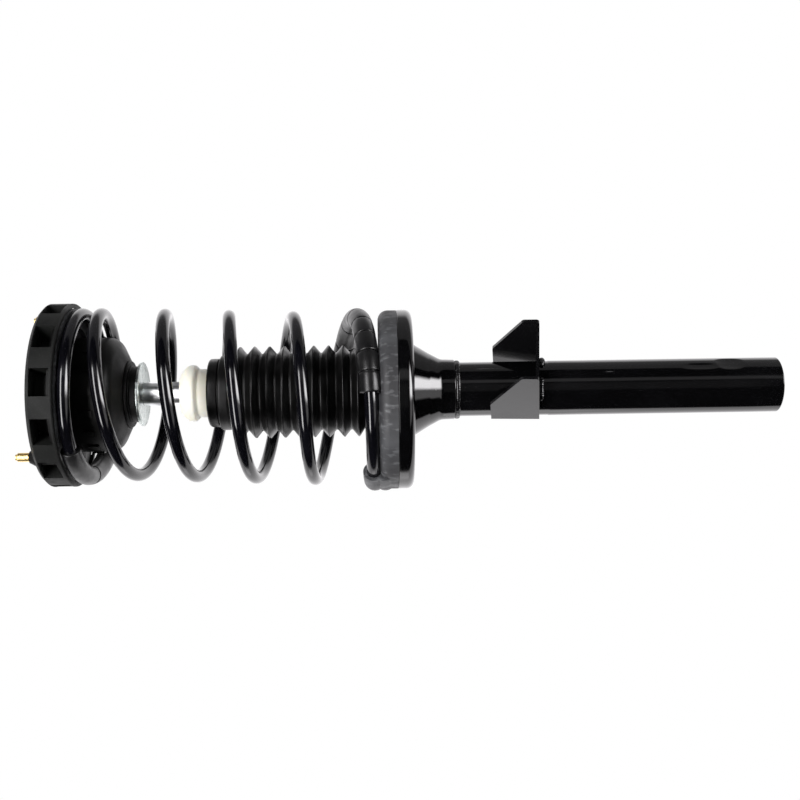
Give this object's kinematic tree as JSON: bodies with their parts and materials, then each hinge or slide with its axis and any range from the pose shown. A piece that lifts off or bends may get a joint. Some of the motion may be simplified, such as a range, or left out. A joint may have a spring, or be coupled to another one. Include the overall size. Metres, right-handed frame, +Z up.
{
  "type": "strut assembly",
  "caption": "Complete suspension strut: damper tube with clamp end, coil spring on a seat, dust boot, bump stop, and a ribbed upper mount with studs.",
  "frame": {"origin": "centre of the outer tube's open lower end, where the knuckle clamps it", "axes": "+Z up along the strut axis to the upper mount; +X to the side of the mount opposite the eccentric spring seat's offset"},
  "size_m": [0.1779, 0.17, 0.693],
  "materials": {
    "gloss_black_paint": "gloss black paint over steel",
    "painted_weld": "gloss black paint over weld bead",
    "spring_coating": "gloss black coated spring steel",
    "chrome_rod": "polished chrome",
    "zinc_plate": "clear zinc plate",
    "yellow_zinc": "yellow zinc plate",
    "bare_steel": "machined",
    "sintered_iron": "sintered",
    "bronze": "bush lining",
    "ptfe_band": "filled PTFE",
    "seal_rubber": "moulded",
    "isolator_rubber": "dull moulded rubber",
    "sleeve_rubber": "satin extruded rubber",
    "boot_rubber": "moulded bellows",
    "bush_rubber": "moulded",
    "bump_foam": "cream polyurethane foam",
    "housing_black": "satin black",
    "mount_moulding": "moulded, satin",
    "cap_plastic": "moulded"
  },
  "bodies": {
    "damper_body": {"outer_tube": "gloss_black_paint", "bottom_cap": "gloss_black_paint", "pressure_tube": "bare_steel", "base_valve_body": "sintered_iron", "base_valve_rivet": "bare_steel", "rod_guide": "sintered_iron", "guide_bush": "bronze", "rod_seal": "seal_rubber", "closing_washer": "bare_steel", "striker_cap": "zinc_plate", "spring_seat_pan": "gloss_black_paint", "seat_collar": "gloss_black_paint", "seat_weld": "painted_weld", "lower_isolator": "isolator_rubber", "index_bracket": "gloss_black_paint", "bracket_welds": "painted_weld", "coil_spring": "spring_coating", "lower_coil_sleeve": "sleeve_rubber", "dust_boot": "boot_rubber"},
    "rod_assembly": {"piston_rod": "chrome_rod", "piston": "sintered_iron", "piston_band": "ptfe_band", "valve_shims": "bare_steel", "piston_nut": "bare_steel", "rebound_ring": "bare_steel", "rebound_stop": "seal_rubber", "lower_mount_washer": "zinc_plate", "mount_inner_sleeve": "bare_steel", "mount_bush": "bush_rubber", "bush_housing": "housing_black", "upper_cup_washer": "zinc_plate", "rod_nut": "yellow_zinc", "mount_shell": "mount_moulding", "stud_plate": "housing_black", "mount_studs": "yellow_zinc", "stud_collars": "housing_black", "upper_seat_pad": "isolator_rubber", "upper_coil_sleeve": "sleeve_rubber", "dust_cap": "cap_plastic"},
    "bump_stop_body": {"bump_stop": "bump_foam"},
    "intake_plate": {"intake_valve_plate": "bare_steel"}
  },
  "joints": [
    {"name": "rod_slide", "type": "slide", "parent": "damper_body", "child": "rod_assembly", "axis": [0, 0, -1], "range_m": [0, 0.1], "stiffness_N_per_m": 12800, "springref_m": -0.006, "deforming": ["coil_spring", "dust_boot"]},
    {"name": "bump_stop_slide", "type": "slide", "parent": "rod_assembly", "child": "bump_stop_body", "axis": [0, 0, 1], "range_m": [0, 0.033]},
    {"name": "intake_plate_lift", "type": "slide", "parent": "damper_body", "child": "intake_plate", "axis": [0, 0, 1], "range_m": [0, 0.001], "stiffness_N_per_m": 150}
  ],
  "couplings": [
    {"joint": "bump_stop_slide", "follows": "rod_slide", "ratio": 0.32}
  ]
}
